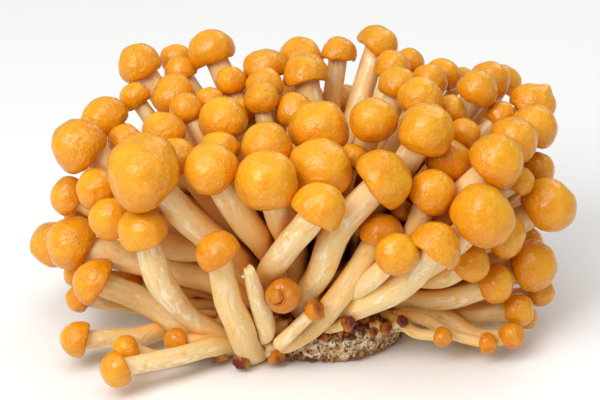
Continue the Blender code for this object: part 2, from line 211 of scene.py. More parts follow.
def veil_flesh():
    """The pale underside: a thin veil drawn over close gills, with painted shade where the bunch
    closes it in.
    """
    material, start, shader = finish("nameko_veil")
    grain = kept(start, "grain")
    place = kept(start, "place")
    gills = grain.scaled(1.0, 1.0, 0.05).noise(1.2, 2.0)
    cloud = grain.noise(0.4, 3.0)
    colour = (gills.between(0.35, 0.65) * 0.6).mix((0.74, 0.42, 0.12, 1), (0.84, 0.62, 0.30, 1))
    colour = (cloud.between(0.45, 0.65) * 0.6).mix(colour, (0.90, 0.76, 0.48, 1))
    # Painted shade: darker orange where the underside is closed in.
    colour = (place.part(2).between(0.4, 1.0) * 0.5).mix(colour, (0.60, 0.22, 0.025, 1))
    wire(
        start,
        shader,
        Base_Color=colour,
        Roughness=0.55,
        Normal=(gills * 0.8 + cloud * 0.4).bump(0.5, 0.0003),
    )
    return material


def stem_flesh():
    """Cream fibre, streaked along its length and stained ochre. Deep in the bunch it has painted
    glow and painted shade: orange, standing for light come through the flesh, then brown, then
    near black."""
    material, start, shader = finish("nameko_stem")
    grain = kept(start, "grain")
    place = kept(start, "place")
    height = place.part(0)
    tone = place.part(1)
    occlusion_shade = place.part(2)
    fibre = grain.scaled(1.0, 1.0, 0.10).noise(0.9, 4.0, 0.3)
    thread = grain.scaled(1.0, 1.0, 0.06).noise(2.6, 3.0)
    patch = grain.scaled(1.0, 1.0, 0.40).noise(0.26, 4.0, 1.0)
    smear = grain.scaled(1.0, 1.0, 0.30).noise(0.42, 4.0, 1.4)
    blot = grain.scaled(1.0, 1.0, 0.50).noise(0.48, 3.0, 0.8)
    speck = grain.scaled(1.0, 1.0, 0.6).noise(1.3, 3.0, 0.5)
    colour = fibre.between(0.3, 0.7).mix((0.79, 0.58, 0.27, 1), (0.86, 0.69, 0.39, 1))
    colour = (patch.between(0.44, 0.64) * 0.55).mix(colour, (0.82, 0.54, 0.18, 1))
    colour = (smear.between(0.55, 0.61) * 0.75).mix(colour, (0.93, 0.84, 0.64, 1))
    colour = (thread.between(0.5, 0.75) * 0.2).mix(colour, (0.90, 0.78, 0.52, 1))
    colour = (tone.held() * 0.45).mix(colour, (0.80, 0.50, 0.16, 1))
    colour = (tone.between(1.0, 2.0) * 0.9).mix(colour, (0.62, 0.30, 0.08, 1))
    # Painted glow: orange where the stem is partly closed in, for light come through the flesh.
    colour = (occlusion_shade.between(0.22, 0.70) * 0.8).mix(colour, (0.95, 0.58, 0.18, 1))
    colour = (blot.between(0.585, 0.64) * 0.75).mix(colour, (0.85, 0.48, 0.08, 1))
    colour = (speck.between(0.67, 0.72) * 0.7).mix(colour, (0.70, 0.30, 0.035, 1))
    # Painted shade: orange, then brown, then near black as the stem is more closed in.
    colour = (occlusion_shade.between(0.55, 0.92) * 0.85).mix(colour, (0.90, 0.38, 0.045, 1))
    colour = (occlusion_shade.between(0.82, 0.94) * 0.85).mix(colour, (0.42, 0.09, 0.010, 1))
    colour = (occlusion_shade.between(0.88, 0.97) * 0.9).mix(colour, (0.08, 0.012, 0.002, 1))
    foot = (height.between(0.20, 0.02) * 0.6 + fibre.between(0.35, 0.7) * 0.1).held()
    colour = (foot * 0.6).mix(colour, (0.70, 0.36, 0.08, 1))
    ridges = fibre * 0.7 + thread * 0.3 + patch * 0.6 + smear * 0.5
    wire(
        start,
        shader,
        Base_Color=colour,
        Roughness=(patch * 0.3 + 0.28).held(),
        Specular_IOR_Level=0.4,
        Normal=ridges.bump(0.35, 0.0003),
        Coat_Weight=0.12,
        Coat_Roughness=0.25,
        Subsurface_Weight=0.45,
        Subsurface_Radius=(1.0, 0.50, 0.18),
        Subsurface_Scale=0.003,
    )
    return material


MUSHROOM_FINISHES = [cap_skin(), veil_flesh(), stem_flesh()]


# Mushrooms, each grown anew over its solid. A solid's cap and stem are rings of eight points,
# so following its edges from the tip of a cap gives the rings in order: two of the crown, the
# rim, and then the stem. Where mushrooms of one tuft merge, the rings end near the shared foot.

RING = 8  # Points in each ring of a solid.
FEWEST_RINGS = 4  # Two of a crown, a rim and a neck.
FOOT_POINTS = 12  # The points of a tuft nearest the plug, which are its foot.
plug_low, plug_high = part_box("compost_plug")
plug_middle = np.array([(low + high) / 2 for low, high in zip(plug_low, plug_high)])
heart = np.array([*plug_middle[:2], 3 * MM])  # Where the feet of the stems head for.


class Growth(NamedTuple):
    centre: np.ndarray  # Middle of the cap at its widest.
    axis: np.ndarray  # Way the cap faces.
    side: np.ndarray  # Way across it.
    half: float  # Half its width.
    rise: float  # Height of the crown over the middle, in half widths.
    under: float  # Depth of the rim below it, in half widths.
    rim: float  # Half width of the rim, in half widths.
    stem: np.ndarray  # Knots from the neck to the foot: x, y, z and radius.


def unit(vector):
    return vector / np.linalg.norm(vector)


def ring_layers(tip):
    """The rings of points met one after another from a tip."""
    seen = {tip}
    layer = [edge.other_vert(tip) for edge in tip.link_edges]
    layers = []
    while len(layer) == RING:
        layers.append(layer)
        seen.update(layer)
        reached = []
        for vertex in layer:
            for edge in vertex.link_edges:
                far = edge.other_vert(vertex)
                if far not in seen and far not in reached:
                    reached.append(far)
        layer = reached
    return layers


def knot(ring):
    """The middle and mean radius of a ring, as x, y, z and radius."""
    points = np.array([vertex.co for vertex in ring])
    middle = points.mean(axis=0)
    return np.array([*middle, np.linalg.norm(points - middle, axis=1).mean()])


def ring_chains(node):
    """The tips of a node with their knots and first rings, and its points on no ring."""
    flesh = bmesh.new()
    flesh.from_mesh(node.data)
    flesh.transform(node.matrix_world)
    bmesh.ops.remove_doubles(flesh, verts=flesh.verts, dist=1e-6)
    chains = []
    ringed = set()
    for tip in flesh.verts:
        layers = ring_layers(tip) if len(tip.link_edges) == RING else []
        if len(layers) < FEWEST_RINGS:
            continue
        knots = np.array([knot(layer) for layer in layers])
        chains.append((np.array(tip.co), knots, np.array(layers[1][0].co)))
        ringed.update(vertex for layer in layers for vertex in layer)
    rest = np.array([vertex.co for vertex in flesh.verts if vertex not in ringed])
    flesh.free()
    return chains, rest


def growths(node):
    """Every mushroom of a node, widest first. Only from the crown is the second ring widest."""
    chains, rest = ring_chains(node)
    chains = [chain for chain in chains if chain[1][:, 3].argmax() == 1]
    found = []
    for tip, knots, across in chains:
        centre = knots[1, :3]
        half = knots[1, 3]
        axis = unit(tip - centre)
        across = across - centre
        found.append(
            Growth(
                centre=centre,
                axis=axis,
                side=unit(across - axis * (across @ axis)),
                half=half,
                rise=np.linalg.norm(tip - centre) / half,
                under=(centre - knots[2, :3]) @ axis / half,
                rim=knots[2, 3] / half,
                stem=knots[3:],
            )
        )
    # A stem of a tuft is carried on to the foot that it shares, next to the plug.
    if len(found) > 1:
        nearest = np.argsort(np.linalg.norm(rest - plug_middle, axis=1))[:FOOT_POINTS]
        foot = rest[nearest].mean(axis=0)
        for i, growth in enumerate(found):
            last = growth.stem[-1]
            ending = np.array([*(foot + unit(last[:3] - foot) * MM), 0.85 * last[3]])
            found[i] = growth._replace(stem=np.vstack([growth.stem, ending]))
    return sorted(found, key=lambda growth: -round(growth.half, 5))


def smooth_path(knots, count):
    """Knots of any width joined by a smooth curve, in even steps, and how far along each is."""
    chord = np.append(0.0, np.cumsum(np.linalg.norm(np.diff(knots[:, :3], axis=0), axis=1)))
    slopes = np.gradient(knots, chord, axis=0)
    along = np.linspace(0.0, chord[-1], count)
    first = np.clip(np.searchsorted(chord, along, side="right") - 1, 0, len(chord) - 2)
    step = chord[first + 1] - chord[first]
    t = ((along - chord[first]) / step)[:, None]
    step = step[:, None]
    curve = (
        (1 + 2 * t) * (1 - t) ** 2 * knots[first]
        + t * (1 - t) ** 2 * step * slopes[first]
        + t**2 * (3 - 2 * t) * knots[first + 1]
        + t**2 * (t - 1) * step * slopes[first + 1]
    )
    return curve, along


def clouds(points, scale, seed):
    """Smooth noise at each point of an array, from about -1 to 1."""
    shift = np.array([seed * 7.31 % 91.0, seed * 3.17 % 87.0, seed * 5.93 % 83.0])
    flat = points.reshape(-1, 3) * scale + shift
    return np.array([noise.noise(Vector(p)) for p in flat]).reshape(points.shape[:-1])


class Flesh:
    """Closed skins that end up in one piece, with what is kept on each of their points."""

    def __init__(self):
        self.points = []
        self.grain = []
        self.place = []
        self.faces = []
        self.finish = []
        self.count = 0

    def add(self, tip, rows, end, tip_grain, grain, place, finishes):
        """One skin: a tip, rows of points around, and an end. grain and place have an entry
        for each point of each row; finishes has one for each band between rows."""
        high, around = rows.shape[:2]
        self.points += [tip[None], rows.reshape(-1, 3), end[None]]
        self.grain += [tip_grain[None], grain.reshape(-1, 3), grain[-1, :1]]
        self.place += [place[0, :1], place.reshape(-1, 3), place[-1, :1]]
        first = self.count
        ring = np.arange(around)
        nxt = (ring + 1) % around
        self.faces += [(first, first + 1 + i, first + 1 + j) for i, j in zip(ring, nxt)]
        self.finish += [finishes[0]] * around
        for row in range(high - 1):
            top = first + 1 + row * around
            low = top + around
            self.faces += [(top + i, low + i, low + j, top + j) for i, j in zip(ring, nxt)]
            self.finish += [finishes[row + 1]] * around
        last = first + 1 + high * around
        top = last - around
        self.faces += [(top + i, last, top + j) for i, j in zip(ring, nxt)]
        self.finish += [finishes[-1]] * around
        self.count = last + 1

    def piece(self, name, materials, slot, *stands_for):
        """The piece in the scene, riding on the bunch."""
        mesh = bpy.data.meshes.new(name)
        mesh.from_pydata(np.concatenate(self.points).tolist(), [], self.faces)
        for key, values in (("grain", self.grain), ("place", self.place)):
            kept_values = mesh.attributes.new(key, "FLOAT_VECTOR", "POINT")
            kept_values.data.foreach_set("vector", np.concatenate(values).ravel())
        for material in materials:
            mesh.materials.append(material)
        mesh.polygons.foreach_set("material_index", self.finish)
        mesh.shade_smooth()
        made = bpy.data.objects.new(name, mesh)
        bpy.context.scene.collection.objects.link(made)
        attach(made, "root")
        if stands_for:
            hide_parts(*stands_for)
        return made


def placed(rows, height, tone=0.0, occlusion_shade=0.0):
    """What is kept as the place of each point of a skin."""
    place = np.zeros(rows.shape)
    place[..., 0] = height
    place[..., 1] = tone
    place[..., 2] = occlusion_shade
    return place


class Trait(NamedTuple):
    """What sets one mushroom apart from a common one."""

    faces: tuple = ()  # Way its cap faces, where that isn't quite its solid's.
    moved: tuple = (0.0, 0.0, 0.0)  # How far its cap is from its solid's, in millimetres.
    sways: tuple = ()  # How far each knot of its stem is from its solid's, below the neck.
    dome: float = 0.0  # How far its cap has opened, from a ball to a dome with a flat base.
    wide: float = 1.0  # Cap, against its solid.
    wart: float = 0.0  # Height of the small point on its crown.
    wart_width: float = 0.15
    lumpy: float = 1.0
    veil: float = 0.0  # How far the veil still closes the underside.
    ragged: float = 0.0  # How torn the rim is.
    lift: float = 0.0  # How far the rim turns up on one side.
    lift_way: tuple = (0.0, -1.0, 0.0)
    tone: float = 0.0  # Darker up to 1, and brown with age at 2.
    thick: float = 1.0  # Stem, against its solid.
    foot: float = 1.0  # Foot, against the top of the stem.
    buried: bool = True  # Its foot goes on into the plug.


CAP_GROWS = 1.045  # A round cap against the eight-sided one that it replaces.
STEM_GROWS = 1.06
AROUND = 36
TURN = np.linspace(0.0, tau, AROUND, endpoint=False)
CROWN_ROWS = 15
TUCK_ROWS = 8
LIP = 0.085
LIP_ROWS = 4
OUTER_ROWS = CROWN_ROWS + TUCK_ROWS + LIP_ROWS
VEIL_ROWS = 5
STEM_ROWS = 40
THINNEST = 0.80  # The thinnest that a stem gets, against its widest near the cap.
BURIED = 8.0 * MM  # How far a foot goes on into the plug.


def opened(growth, trait):
    """A growth whose cap faces its own way and is opened towards a dome: its crown stays where
    it is, its widest part comes down and its rim comes up and out."""
    dome = trait.dome
    axis = unit(np.array(trait.faces)) if trait.faces else growth.axis
    half = growth.half * trait.wide
    rise = growth.rise * (1 - dome) + 1.06 * dome
    under = growth.under * (1 - dome) + 0.17 * dome
    moved = np.array(trait.moved) * MM
    centre = growth.centre + moved - axis * half * (rise - growth.rise)
    stem = growth.stem.copy()
    for k, sway in enumerate(trait.sways):
        stem[k + 1, :3] += np.array(sway) * MM
    neck = stem[0, :3] - growth.centre
    if trait.faces:
        neck = axis * (neck @ growth.axis)
    neck_rise = max(neck @ axis, (0.28 - under) * half)
    stem[0, :3] = centre + neck + axis * (neck_rise - neck @ axis)
    return growth._replace(
        centre=centre,
        axis=axis,
        side=unit(growth.side - axis * (growth.side @ axis)),
        half=half,
        rise=rise,
        under=under,
        rim=growth.rim * (1 - dome) + 0.93 * dome,
        stem=stem,
    )


def cap_profile(growth, trait, squareness, neck_radius, neck_height):
    """The outline of half a cap, crown to neck, as radius and height in half widths, and the
    finish of each band from the tip on."""
    angle = np.linspace(0.0, pi / 2, CROWN_ROWS + 1)[1:]
    radius = [np.sin(angle) ** squareness]
    height = [growth.rise * np.cos(angle)]
    tuck = np.linspace(0.0, pi / 2, TUCK_ROWS + 1)[1:]
    radius.append(growth.rim + (1 - growth.rim) * np.cos(tuck))
    height.append(-growth.under * np.sin(tuck))
    lip = min(LIP, 0.5 * (growth.rim - neck_radius))
    curl = np.linspace(0.0, 0.65 * pi, LIP_ROWS + 1)[1:]
    radius.append(growth.rim - lip * np.sin(curl))
    height.append(lip - growth.under - lip * np.cos(curl))
    inner_radius = radius[-1][-1]
    inner_height = height[-1][-1]
    t = np.linspace(0.0, 1.0, VEIL_ROWS + 1)[1:-1]
    ceiling = neck_height * (1 - trait.veil) + (inner_height - 0.05) * trait.veil
    radius.append(inner_radius + (neck_radius * 1.02 - inner_radius) * t)
    height.append(inner_height + (ceiling - inner_height) * np.sin(t * pi / 2))
    finishes = [0] * OUTER_ROWS + [1] * VEIL_ROWS
    return np.concatenate(radius), np.concatenate(height), finishes


def around_axis(side, axis):
    """Unit vectors all around an axis, starting from its side."""
    return np.cos(TURN)[:, None] * side + np.sin(TURN)[:, None] * np.cross(axis, side)


def stem_skin(knots, side, seed, neck_radius=None):
    """Rings of points down a stem, a little oval and ribbed along its fibres, with the ring's
    own places in the flesh, and how far down each ring is from 0 to 1."""
    path, along = smooth_path(knots, STEM_ROWS)
    tangents = np.gradient(path[:, :3], axis=0)
    down = np.broadcast_to(along[:, None], (STEM_ROWS, AROUND))
    cosine = np.broadcast_to(np.cos(TURN), (STEM_ROWS, AROUND))
    sine = np.broadcast_to(np.sin(TURN), (STEM_ROWS, AROUND))
    ribs = clouds(np.stack([cosine, sine, down / (9 * MM)], axis=-1), 1.0, seed + 0.2)
    fibres = clouds(np.stack([cosine * 4, sine * 4, down / (16 * MM)], axis=-1), 1.0, seed + 0.4)
    swell = 1 + 0.10 * ribs + 0.03 * fibres
    if neck_radius:
        swell[0] = neck_radius / path[0, 3]
    rows = []
    for k in range(STEM_ROWS):
        onward = -unit(tangents[k])
        side = unit(side - onward * (side @ onward))
        ring = around_axis(side, onward)
        rows.append(path[k, :3] + path[k, 3] * swell[k][:, None] * ring)
    end = path[-1, :3] + unit(path[-1, :3] - path[-2, :3]) * 0.5 * MM
    width = path[:, 3][:, None] / MM
    grain = np.stack([cosine * width, sine * width, down / MM], axis=-1)
    return np.array(rows), end, grain, along / along[-1]


REACH = 22.0 * MM
RAY_START = 0.7 * MM  # Off the skin, clear of the solid just under it.
RAY_LEAN = 1.02  # Over 1, so that no ray points back into the skin.
RAY_COUNT = 14
GOLDEN_ANGLE = 2.399963
turns = np.arange(RAY_COUNT) * GOLDEN_ANGLE
heights = 1 - (2 * np.arange(RAY_COUNT) + 1) / RAY_COUNT
flat = np.sqrt(1 - heights**2)
RAYS = np.stack([flat * np.cos(turns), flat * np.sin(turns), heights], axis=1)
ROW_STEP = 2
POINT_STEP = 3


def hidden(rows):
    """How closed in each point of a skin is, from 0 to 1: the share of short rays from it that
    meet a solid, which the finishes paint as shade. Taken at every few points and spread over
    those between."""
    fewer = rows[::ROW_STEP, ::POINT_STEP]
    across = np.roll(fewer, -1, axis=1) - np.roll(fewer, 1, axis=1)
    down = np.gradient(fewer, axis=0)
    normals = np.cross(down, across)
    normals /= np.linalg.norm(normals, axis=-1, keepdims=True) + 1e-12
    occlusion_shade = np.zeros(fewer.shape[:2])
    for k, ring in enumerate(fewer):
        for i, point in enumerate(ring):
            normal = normals[k, i]
            base = Vector(point + normal * RAY_START)
            for way in RAYS:
                if crowd.ray_cast(base, Vector(unit(way + normal * RAY_LEAN)), REACH)[0]:
                    occlusion_shade[k, i] += 1 / len(RAYS)
    occlusion_shade = (occlusion_shade + np.roll(occlusion_shade, 1, axis=1) + np.roll(occlusion_shade, -1, axis=1)) / 3
    columns = np.arange(rows.shape[1]) / POINT_STEP
    low = columns.astype(int)
    share = columns - low
    wide = occlusion_shade[:, low] * (1 - share) + occlusion_shade[:, (low + 1) % occlusion_shade.shape[1]] * share
    places = np.arange(len(rows)) / ROW_STEP
    under = np.minimum(places.astype(int), len(wide) - 1)
    over = np.minimum(under + 1, len(wide) - 1)
    share = (places - under)[:, None]
    return wide[under] * (1 - share) + wide[over] * share


def grow_mushroom(flesh, growth, seed, trait):
    """Adds a whole mushroom: its crown, rim, veil and stem are one skin."""
    draw = np.random.default_rng(seed)
    trait = trait._replace(dome=trait.dome or draw.uniform(0.0, 0.35))
    growth = opened(growth, trait)
    half = growth.half * CAP_GROWS
    outward = around_axis(growth.side, growth.axis)
    stem = growth.stem.copy()
    stem[:, 3] *= STEM_GROWS * trait.thick
    full = stem[: min(3, len(stem)), 3].max()
    stem[1:, 3] = np.maximum(stem[1:, 3], THINNEST * full)
    stem[:, 3] *= np.linspace(1.0, trait.foot, len(stem))
    foot = stem[-1, :3]
    buried = foot + unit(heart - foot) * BURIED
    if trait.buried:
        stem = np.vstack([stem, [*buried, 0.9 * stem[-1, 3]]])
    neck = stem[0, :3] - growth.centre
    neck_height = neck @ growth.axis / half
    neck_aside = neck - growth.axis * (neck @ growth.axis)
    neck_radius = min(stem[0, 3] / half, growth.rim - 0.07)

    # The cap: an outline turned about the axis, then made a little oval, lumpy and uneven.
    squareness = draw.uniform(0.86, 1.04)
    radius, height, finishes = cap_profile(growth, trait, squareness, neck_radius, neck_height)
    tip_height = growth.rise
    if trait.wart:
        height = height + trait.wart * np.exp(-((radius / trait.wart_width) ** 2)) * (height > 0)
        tip_height += trait.wart
    oval = 1 + 0.035 * np.cos(2 * (TURN - draw.uniform(0, pi))) * draw.uniform(0.2, 1.0)
    ways = (
        radius[:, None, None] * oval[None, :, None] * outward[None]
        + height[:, None, None] * growth.axis
    )
    ways = np.concatenate([ways, np.broadcast_to(growth.axis * tip_height, (1, AROUND, 3))])
    uneven = 0.11 * clouds(ways, 0.9, seed) + 0.040 * clouds(ways, 2.1, seed + 0.5)
    uneven = trait.lumpy * (uneven + 0.012 * clouds(ways, 5.0, seed + 0.7))
    tip_uneven = uneven[-1, 0]
    ways = ways[:-1]
    uneven = uneven[:-1]
    low = np.clip((0.25 - height) / (0.25 + growth.under), 0, 1)[:, None]
    toward_lift = np.clip(outward @ unit(np.array(trait.lift_way)), 0, 1) ** 2
    wave = clouds(outward * 1.6, 1.0, seed + 0.3) * (0.05 + trait.ragged)
    wave = (wave + trait.lift * toward_lift)[None] * low
    ease = np.clip((len(radius) - 1 - np.arange(len(radius))) / VEIL_ROWS, 0, 1)
    cap = growth.centre + half * (ways * (1 + uneven[..., None] * ease[:, None, None]))
    cap = cap + half * (wave * ease[:, None])[..., None] * growth.axis
    cap = cap + (1 - ease)[:, None, None] * neck_aside
    tip = growth.centre + half * growth.axis * tip_height * (1 + tip_uneven)
    down, end, stem_grain, share = stem_skin(stem, growth.side, seed, neck_radius * half)
    rows = np.concatenate([cap, down])

    # What the finishes read. The underside's grain runs out along its gills.
    cap_grain = ways * half / MM
    spin = np.stack([np.cos(TURN) * 9, np.sin(TURN) * 9, TURN * 0], axis=1)
    cap_grain[OUTER_ROWS + 1 :] = spin
    cap_grain[OUTER_ROWS + 1 :, :, 2] = (radius[OUTER_ROWS + 1 :, None] * half) / MM
    shift = np.array([seed * 13.7 % 97, seed * 29.3 % 89, seed * 17.9 % 83])
    grain = np.concatenate([cap_grain, stem_grain]) + shift
    inner = np.linspace(0.0, 1.0, VEIL_ROWS + 1)[1:-1]
    high = np.concatenate([np.linspace(1, 0, OUTER_ROWS), inner, 1 - share])
    tone = trait.tone + draw.uniform(0.0, 0.35) * (trait.tone < 0.6)
    # A stem's top is closed in by little but its own cap, which lets light through, so it gets
    # less of the painted shade.
    shade_weights = np.concatenate([np.ones(len(cap)), np.clip(0.4 + share * 4, 0, 1)])
    place = placed(rows, high[:, None], tone, hidden(rows) * shade_weights[:, None])
    tip_grain = growth.axis * growth.rise * half / MM + shift
    flesh.add(tip, rows, end, tip_grain, grain, place, finishes + [2] * STEM_ROWS)


# The few mushrooms that stand out, by node and by place in it, widest first.
TRAITS = {
    ("front_mushroom_01", 0): Trait(dome=0.25, wide=1.02, lumpy=1.5),
    ("front_mushroom_03", 0): Trait(
        dome=0.05, sways=((-0.8, 0.0, 0.0), (-2.0, 0.0, 0.0), (-2.2, 0.0, 0.0), (-1.4, 0.0, 0.0))
    ),
    ("front_mushroom_06", 0): Trait(
        faces=(0.50, 0.06, 0.86), dome=1.0, veil=1.0, thick=0.98, foot=0.72
    ),
    ("front_mushroom_07", 0): Trait(
        faces=(0.79, 0.08, 0.60),
        dome=0.7,
        veil=0.3,
        sways=((0.8, 0.0, 0.0), (4.6, 0.0, 0.5), (4.0, 0.0, 0.5), (3.0, 0.0, 0.0)),
    ),
    ("front_mushroom_08", 0): Trait(
        faces=(-0.35, 0.02, 0.93),
        dome=0.5,
        lift=0.15,
        lift_way=(0.75, -0.65, 0.0),
        veil=1.0,
        tone=1.0,
        sways=((0.5, 0.0, 0.0), (2.5, 0.0, 0.0), (1.4, -0.5, -0.5), (0.0, -2.0, -1.5)),
        thick=1.05,
        foot=1.3,
    ),
    ("front_mushroom_10", 0): Trait(moved=(1.8, 0.0, 2.4), dome=0.01),
    ("front_mushroom_12", 0): Trait(
        faces=(-0.30, -0.12, 0.94),
        moved=(0.0, 0.0, 1.2),
        dome=0.9,
        veil=1.0,
        wart=0.05,
        wart_width=0.1,
        sways=((0.0, -1.0, 0.8), (0.5, -2.0, 1.5), (0.0, -6.0, 1.8), (0.5, -9.0, -1.2)),
    ),
    ("front_tuft_09", 0): Trait(
        faces=(0.30, 0.0, 0.94),
        moved=(1.5, 0.0, 0.8),
        dome=0.8,
        ragged=0.05,
        tone=1.25,
        sways=((4.5, 0.0, 0.0), (4.3, 0.0, 0.0), (0.3, -2.0, -3.8), (-5.8, -6.0, -5.0)),
        foot=0.85,
    ),
    ("left_mushroom_06", 0): Trait(
        faces=(-0.85, 0.03, 0.51),
        moved=(-1.4, 0.0, 0.8),
        dome=0.6,
        veil=0.6,
        sways=((0.0, -0.5, -4.5), (-0.5, -6.0, -8.0), (-1.6, -8.5, -9.5), (-1.6, -9.0, -7.0)),
    ),
    ("left_mushroom_08", 0): Trait(
        faces=(-0.95, -0.08, 0.29),
        dome=0.55,
        veil=0.6,
        sways=((0.0, 3.0, -8.0), (-3.0, 5.0, -11.5), (-4.0, 6.0, -9.0), (-2.0, 4.0, -5.0)),
    ),
    ("left_mushroom_09", 0): Trait(
        faces=(-0.82, -0.47, -0.27),
        dome=0.75,
        veil=0.6,
        sways=((0.0, -1.0, -4.5), (-1.0, -1.0, -8.5), (-3.5, -2.0, -9.0), (-4.0, -2.0, -7.0)),
    ),
    ("left_tuft_04", 0): Trait(
        sways=((0.0, 0.0, -0.6), (0.0, 0.0, -1.6), (0.0, 0.0, -2.2)), thick=1.05
    ),
    ("left_tuft_04", 1): Trait(moved=(0.0, 0.0, 3.6)),
    ("left_tuft_10", 1): Trait(tone=1.3),
    ("right_mushroom_08", 0): Trait(moved=(-1.6, 0.0, 1.6)),
    ("right_mushroom_12", 0): Trait(thick=1.25, tone=1.1),
    ("right_mushroom_14", 0): Trait(
        faces=(0.58, 0.30, 0.75),
        dome=1.0,
        wide=1.06,
        veil=1.0,
        ragged=0.06,
        thick=1.05,
        sways=((0.0, 0.0, 0.0), (0.0, 0.0, 3.0), (0.0, 0.0, 3.0), (0.0, 0.0, 3.0)),
    ),
    ("right_tuft_02", 1): Trait(wart=0.22, wart_width=0.25),
    ("right_tuft_09", 1): Trait(moved=(-1.7, 0.0, 1.4)),
    ("right_tuft_13", 0): Trait(wide=0.92, tone=1.2, moved=(0.0, 2.0, 0.6)),
    ("right_tuft_13", 1): Trait(wart=0.2, wart_width=0.3, tone=1.2, moved=(1.0, 0.0, 1.6)),
    ("crown_tuft_03", 0): Trait(moved=(-1.5, 0.0, 0.5)),
    ("crown_tuft_07", 0): Trait(moved=(0.0, 0.0, 1.6)),
    ("crown_tuft_08", 0): Trait(dome=0.7, veil=0.7, lift=0.25, lift_way=(0.3, -0.9, 0.0)),
    ("crown_tuft_08", 1): Trait(dome=0.9, veil=0.4),
    ("crown_tuft_09", 1): Trait(dome=0.7, ragged=0.05),
    ("crown_tuft_10", 0): Trait(dome=0.5),
    ("crown_tuft_11", 0): Trait(
        faces=(0.34, 0.12, 0.93), dome=0.6, veil=0.6, lift=0.4, lift_way=(-0.9, -0.4, 0.0)
    ),
}

# The crowd that shuts light out: every solid, but with the swayed stems where they now stand.
CAP_REACH = 1.1  # A cap's faces lie within this many half widths of its middle.
swayed = {name for (name, k), trait in TRAITS.items() if trait.sways}
crowd_points = []
crowd_faces = []
for name, node in nodes.items():
    first = len(crowd_points)
    crowd_points += [node.matrix_world @ vertex.co for vertex in node.data.vertices]
    caps = growths(node) if name in swayed else []
    for face in node.data.polygons:
        corners = [first + i for i in face.vertices]
        middle = np.array(node.matrix_world @ face.center)
        in_cap = any(np.linalg.norm(middle - cap.centre) < CAP_REACH * cap.half for cap in caps)
        if in_cap or name not in swayed:
            crowd_faces.append(corners)
for (name, k), trait in TRAITS.items():
    if trait.sways:
        growth = opened(growths(nodes[name])[k], trait)
        rows = stem_skin(growth.stem, growth.side, k)[0]
        first = len(crowd_points)
        crowd_points += [Vector(point) for point in rows.reshape(-1, 3)]
        for j in range(len(rows) - 1):
            for i in range(AROUND):
                corner = first + j * AROUND + i
                beside = first + j * AROUND + (i + 1) % AROUND
                crowd_faces.append([corner, beside, beside + AROUND, corner + AROUND])
crowd = BVHTree.FromPolygons(crowd_points, crowd_faces)

apart = ("compost_plug", "loose_cap", "snapped_stem")
whole = [name for name in sorted(nodes) if name not in apart]
for number, name in enumerate(whole):
    flesh = Flesh()
    for k, growth in enumerate(growths(nodes[name])):
        grow_mushroom(flesh, growth, 10 * number + k + 1, TRAITS.get((name, k), Trait()))
    flesh.piece(name + "_flesh", MUSHROOM_FINISHES, "mushroom", name)


# The loose cap: a button knocked off its stem and caught between the others, its underside
# forward. Its brown skin is still rolled in round the slanted stub of its stem.

growth = growths(nodes["loose_cap"])[0]
faces = unit(np.array([0.25, 0.92, -0.28]))
stub_side = np.array([-0.16, 0.0, 0.06])
stub = [
    growth.centre + growth.half * (faces * -0.45 + stub_side),
    growth.centre + growth.half * (faces * -0.80 + stub_side * 1.5),
    growth.centre + growth.half * (faces * -0.93 + stub_side * 2.0),
]
growth = growth._replace(
    axis=faces,
    rise=0.95,
    under=0.92,
    rim=0.46,
    stem=np.array([[*point, 0.42 * growth.half] for point in stub]),
)
flesh = Flesh()
grow_mushroom(flesh, growth, 977, Trait(dome=0.01, veil=1.0, ragged=0.2, tone=1.9, buried=False))
flesh.piece("loose_cap_flesh", [MUSHROOM_FINISHES[0]] * 3, "mushroom", "loose_cap")


# The snapped stem: it lost its cap, and stands in front like a peeled splinter, torn white at
# its narrow top and broken to a wedge at its foot, where its fibres hang loose.

SNAPPED_RADIUS = 2.45 * MM
SNAPPED_SHAPE = (
    (0.0, 0.58),
    (0.05, 0.68),
    (0.2, 0.84),
    (0.45, 1.0),
    (0.75, 1.12),
    (0.88, 0.95),
    (1.0, 0.30),
)
# How far each knot is from its solid's, top to foot, in millimetres.
SNAPPED_SWAYS = ((0, 0, 0), (0.6, 0, 0), (1.2, -1, 0), (0.6, -2, -2), (-1.8, -3, -3))
TORN_ROWS = 3
TORN = 0.9 * MM
LOOSE_FIBRES = 6
SLIVER_SIDES = 6


def sliver(flesh, base, tip, radius, seed, tone=0.0):
    """A thin pointed fibre."""
    onward = unit(tip - base)
    side = unit(np.cross(onward, np.array([0.3, 0.5, 0.81])))
    other = np.cross(onward, side)
    turn = np.linspace(0.0, tau, SLIVER_SIDES, endpoint=False)
    ring = np.cos(turn)[:, None] * side + np.sin(turn)[:, None] * other
    bend = np.cross(onward, side) * np.linalg.norm(tip - base) * 0.12
    shares = np.array([0.1, 0.35, 0.6, 0.85])
    rows = np.array(
        [tip + (base - tip) * k + bend * np.sin(k * pi) + ring * radius * k**0.6 for k in shares]
    )
    place = placed(rows, 0.6, tone)
    flesh.add(tip, rows, base, tip / MM, rows / MM + seed, place, [2] * (len(rows) + 1))


chains, _ = ring_chains(nodes["snapped_stem"])
knots = max(chains, key=lambda chain: chain[0][2])[1]
knots[:, :3] += np.array(SNAPPED_SWAYS) * MM
path, along = smooth_path(knots, 12)
share = along / along[-1]
path[:, 3] = SNAPPED_RADIUS * np.interp(share, *zip(*SNAPPED_SHAPE))
side = np.array([1.0, 0.2, 0.0])
rows, end, grain, share = stem_skin(path, side, 901)
onward = unit(rows[5].mean(axis=0) - rows[0].mean(axis=0))
for k in range(TORN_ROWS):
    tear = clouds(around_axis(np.array([1.0, 0, 0]), np.array([0, 0, 1.0])) * 2.5, 1.0, 902)
    rows[k] -= onward * (TORN * (1 - k / TORN_ROWS) * tear)[:, None]
